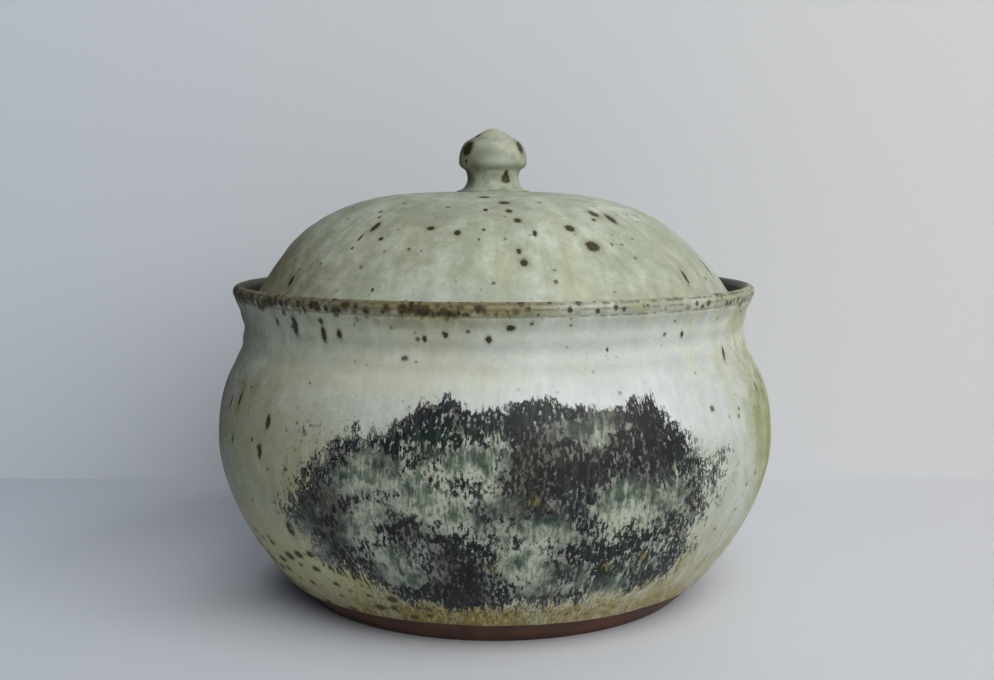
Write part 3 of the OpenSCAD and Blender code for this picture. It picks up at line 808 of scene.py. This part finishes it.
# Ochre above the foot: combed runs, pale where the glaze is thicker and brown where it is thinner, and rows
# of brown dabs, wider than tall
def footOchre(tree, maps, colour, grain, look):
    combed = addNode(tree, "VectorMath", {0: maps["ring"], 1: (1, 1, 0.35)}, "MULTIPLY")[0]
    comb = addNode(tree, "TexNoise", {"Vector": combed, "Scale": 1 / 1.2, "Detail": 4, "Roughness": 0.6})[0]
    for first, last, top, foot, shade in look["combed"]:
        run = addNode(tree, "MapRange", {0: comb, 1: first, 2: last, 4: 0.5})[0]
        low = addNode(tree, "MapRange", {0: maps["height"], 1: top, 2: foot})[0]
        colour = coat(tree, colour, shade, run, low)
    dabPoint = addNode(tree, "VectorMath", {0: maps["flat"], 1: (0.55, 1, 1), 2: maps["rags"]},
                       "MULTIPLY_ADD")[0]
    dabs = ironSpecks(tree, dabPoint, 5.5, 0.1, 2.7, 1.2, "2D")
    dabZone = zoneMask(tree, maps, *look["dabs"]["zone"], grain["cloud"], 0.5)
    dabZone = addNode(tree, "MapRange", {0: dabZone, 1: 0.2, 2: 0.4})[0]
    return coat(tree, colour, look["dabs"]["shade"], dabs, dabZone)


# Iron-burnt lip: brown blotches on the left, dots on the right, fine dark lines where it is not burnt
def burntLip(tree, maps, colour, look):
    reached = {}
    for name, (first, last, most) in look["bounds"].items():
        reached[name] = addNode(tree, "MapRange", {0: maps["turn"], 1: first, 2: last, 4: most})[0]
    outerSide = addNode(tree, "MapRange", {0: maps["radius"], 1: 119.5, 2: 121.5})[0]
    left = overlap(tree, reached["leftFrom"], reached["leftTo"])
    right = overlap(tree, reached["rightFrom"], reached["rightTo"])
    burntShare = overlap(tree, addNode(tree, "Math", {0: left, 1: right}, "MAXIMUM")[0], outerSide)
    lipRing = addNode(tree, "VectorMath", {0: maps["ring"], 1: (1, 1, 0.75)}, "MULTIPLY")[0]
    blotch = addNode(tree, "TexNoise", {"Vector": lipRing, "Scale": 1 / 4.4, "Detail": 2})[0]
    ragBand = addShares(tree, maps["height"], (blotch, 12))
    band = addNode(tree, "MapRange", {0: ragBand, 1: 147.2, 2: 149.6})[0]
    crest = addNode(tree, "MapRange", {0: maps["height"], 1: 147.7, 2: 146.6})[0]
    tan = coat(tree, coat(tree, look["brown"], look["ochre"], reached["ochreFrom"]),
               look["olive"], reached["oliveFrom"])
    colour = coat(tree, colour, tan, burntShare, band, 0.85)
    stain = addShares(tree, blotch, (burntShare, 0.2))
    stain = addNode(tree, "MapRange", {0: stain, 1: 0.64, 2: 0.82, 4: 0.8})[0]
    burnt = addNode(tree, "ValToRGB", {0: blotch},
                    stops=[(0.4, "#7d6f40"), (0.64, "#282213"), (0.51, "#4d4022")])[0]
    colour = coat(tree, colour, burnt, stain, band, crest)

    # A row of cells lies along the lip's middle: dots, and larger and softer blots where it is burnt
    dotPoint = addNode(tree, "VectorMath", {0: maps["flat"], 1: maps["rags"]}, "ADD")[0]
    dotBand = addNode(tree, "MapRange", {0: maps["height"], 1: 142, 2: 143, 4: 0.95})[0]
    dots = ironSpecks(tree, dotPoint, 4.2, 0, 1.9, 0.8, "2D", 0.7)
    colour = coat(tree, colour, look["dots"], dots, dotBand, outerSide)
    blots = ironSpecks(tree, dotPoint, 5.4, 0.05, 3.6, 1.9, "2D", 0.9)
    colour = coat(tree, colour, look["blots"], blots, dotBand, burntShare, crest)
    fading = addNode(tree, "MapRange", {0: blotch, 1: 0.58, 2: 0.46})[0]
    # Painted shade: the lines at 147.2 and 142.2 mm darken the gap by the lid and the groove under the lip;
    # the one at 145 mm is a fine dark ring
    for lineAt, strength in look["lines"]:
        off = addNode(tree, "Math", {0: maps["height"], 1: lineAt}, "SUBTRACT")[0]
        off = addNode(tree, "Math", {0: off}, "ABSOLUTE")[0]
        line = addNode(tree, "MapRange", {0: off, 1: 0.7, 2: 0.2, 4: strength})[0]
        colour = coat(tree, colour, look["line"], line, outerSide, fading)

    # Painted shade on the thin glaze down the lip's inner side
    innerSide = addNode(tree, "MapRange", {0: maps["radius"], 1: 122.6, 2: 120.6, 4: 0.92})[0]
    nearLip = addNode(tree, "MapRange", {0: maps["height"], 1: 138, 2: 140})[0]
    return coat(tree, colour, look["innerShade"], innerSide, nearLip)


def potGlaze(name, look):
    material, tree = newMaterial(name)
    maps = surfaceMaps(tree, 134)
    lowest, highest = look["heights"][0][0], look["heights"][-1][0]
    span = addNode(tree, "MapRange", {0: maps["height"], 1: lowest, 2: highest})[0]
    stops = [((height - lowest) / (highest - lowest), shade) for height, shade in look["heights"]]
    ground = addNode(tree, "ValToRGB", {0: span}, stops=[stops[0], stops[-1]] + stops[1:-1])[0]
    colour, grain = celadonGround(tree, maps, look, ground)
    colour = withWashes(tree, maps, colour, grain, look["washes"])
    colour = footOchre(tree, maps, colour, grain, look)
    colour = withIron(tree, maps, colour, look["spots"], potOutside, 2)
    colour, cover = ironPour(tree, maps, colour, look["pour"])
    colour = burntLip(tree, maps, colour, look["lip"])

    # Inside the pot: the plain glaze alone
    outside = addNode(tree, "Attribute", attribute_name="side")["Fac"]
    outside = addNode(tree, "MapRange", {0: outside, 1: 0.2, 2: 0.8})[0]
    pooled = addNode(tree, "ValToRGB", {0: grain["patchy"]},
                     stops=[(0.36, look["inside"]), (0.64, look["milk"])])[0]
    pooled = addNode(tree, "HueSaturation", {"Value": grain["tone"], "Color": pooled})[0]
    colour = coat(tree, pooled, colour, outside)
    cover = overlap(tree, cover, outside)

    satin = addNode(tree, "MapRange", {0: grain["cloud"], 1: 0.3, 2: 0.7, 3: 0.4, 4: 0.52})[0]
    roughness = addShares(tree, satin, (cover, 0.06))
    relief = addShares(tree, grain["relief"], (cover, 1))
    satinFinish(tree, colour, roughness, relief)
    return material


potMaterial = potGlaze("satin celadon pot glaze", potLook)
print("glazes mixed")

potMaterials = [potMaterial, clayMaterial, galleryClayWithPaintedShade]
finishPiece(potMesh, "glazedPot", potMaterials, "pot", "pot_body")
finishPiece(lidMesh, "glazedLid", [lidMaterial, clayMaterial], "lid", "lid")
finishPiece(knobMesh, "glazedKnob", [knobMaterial], "lid", "knob")
print("pieces set")
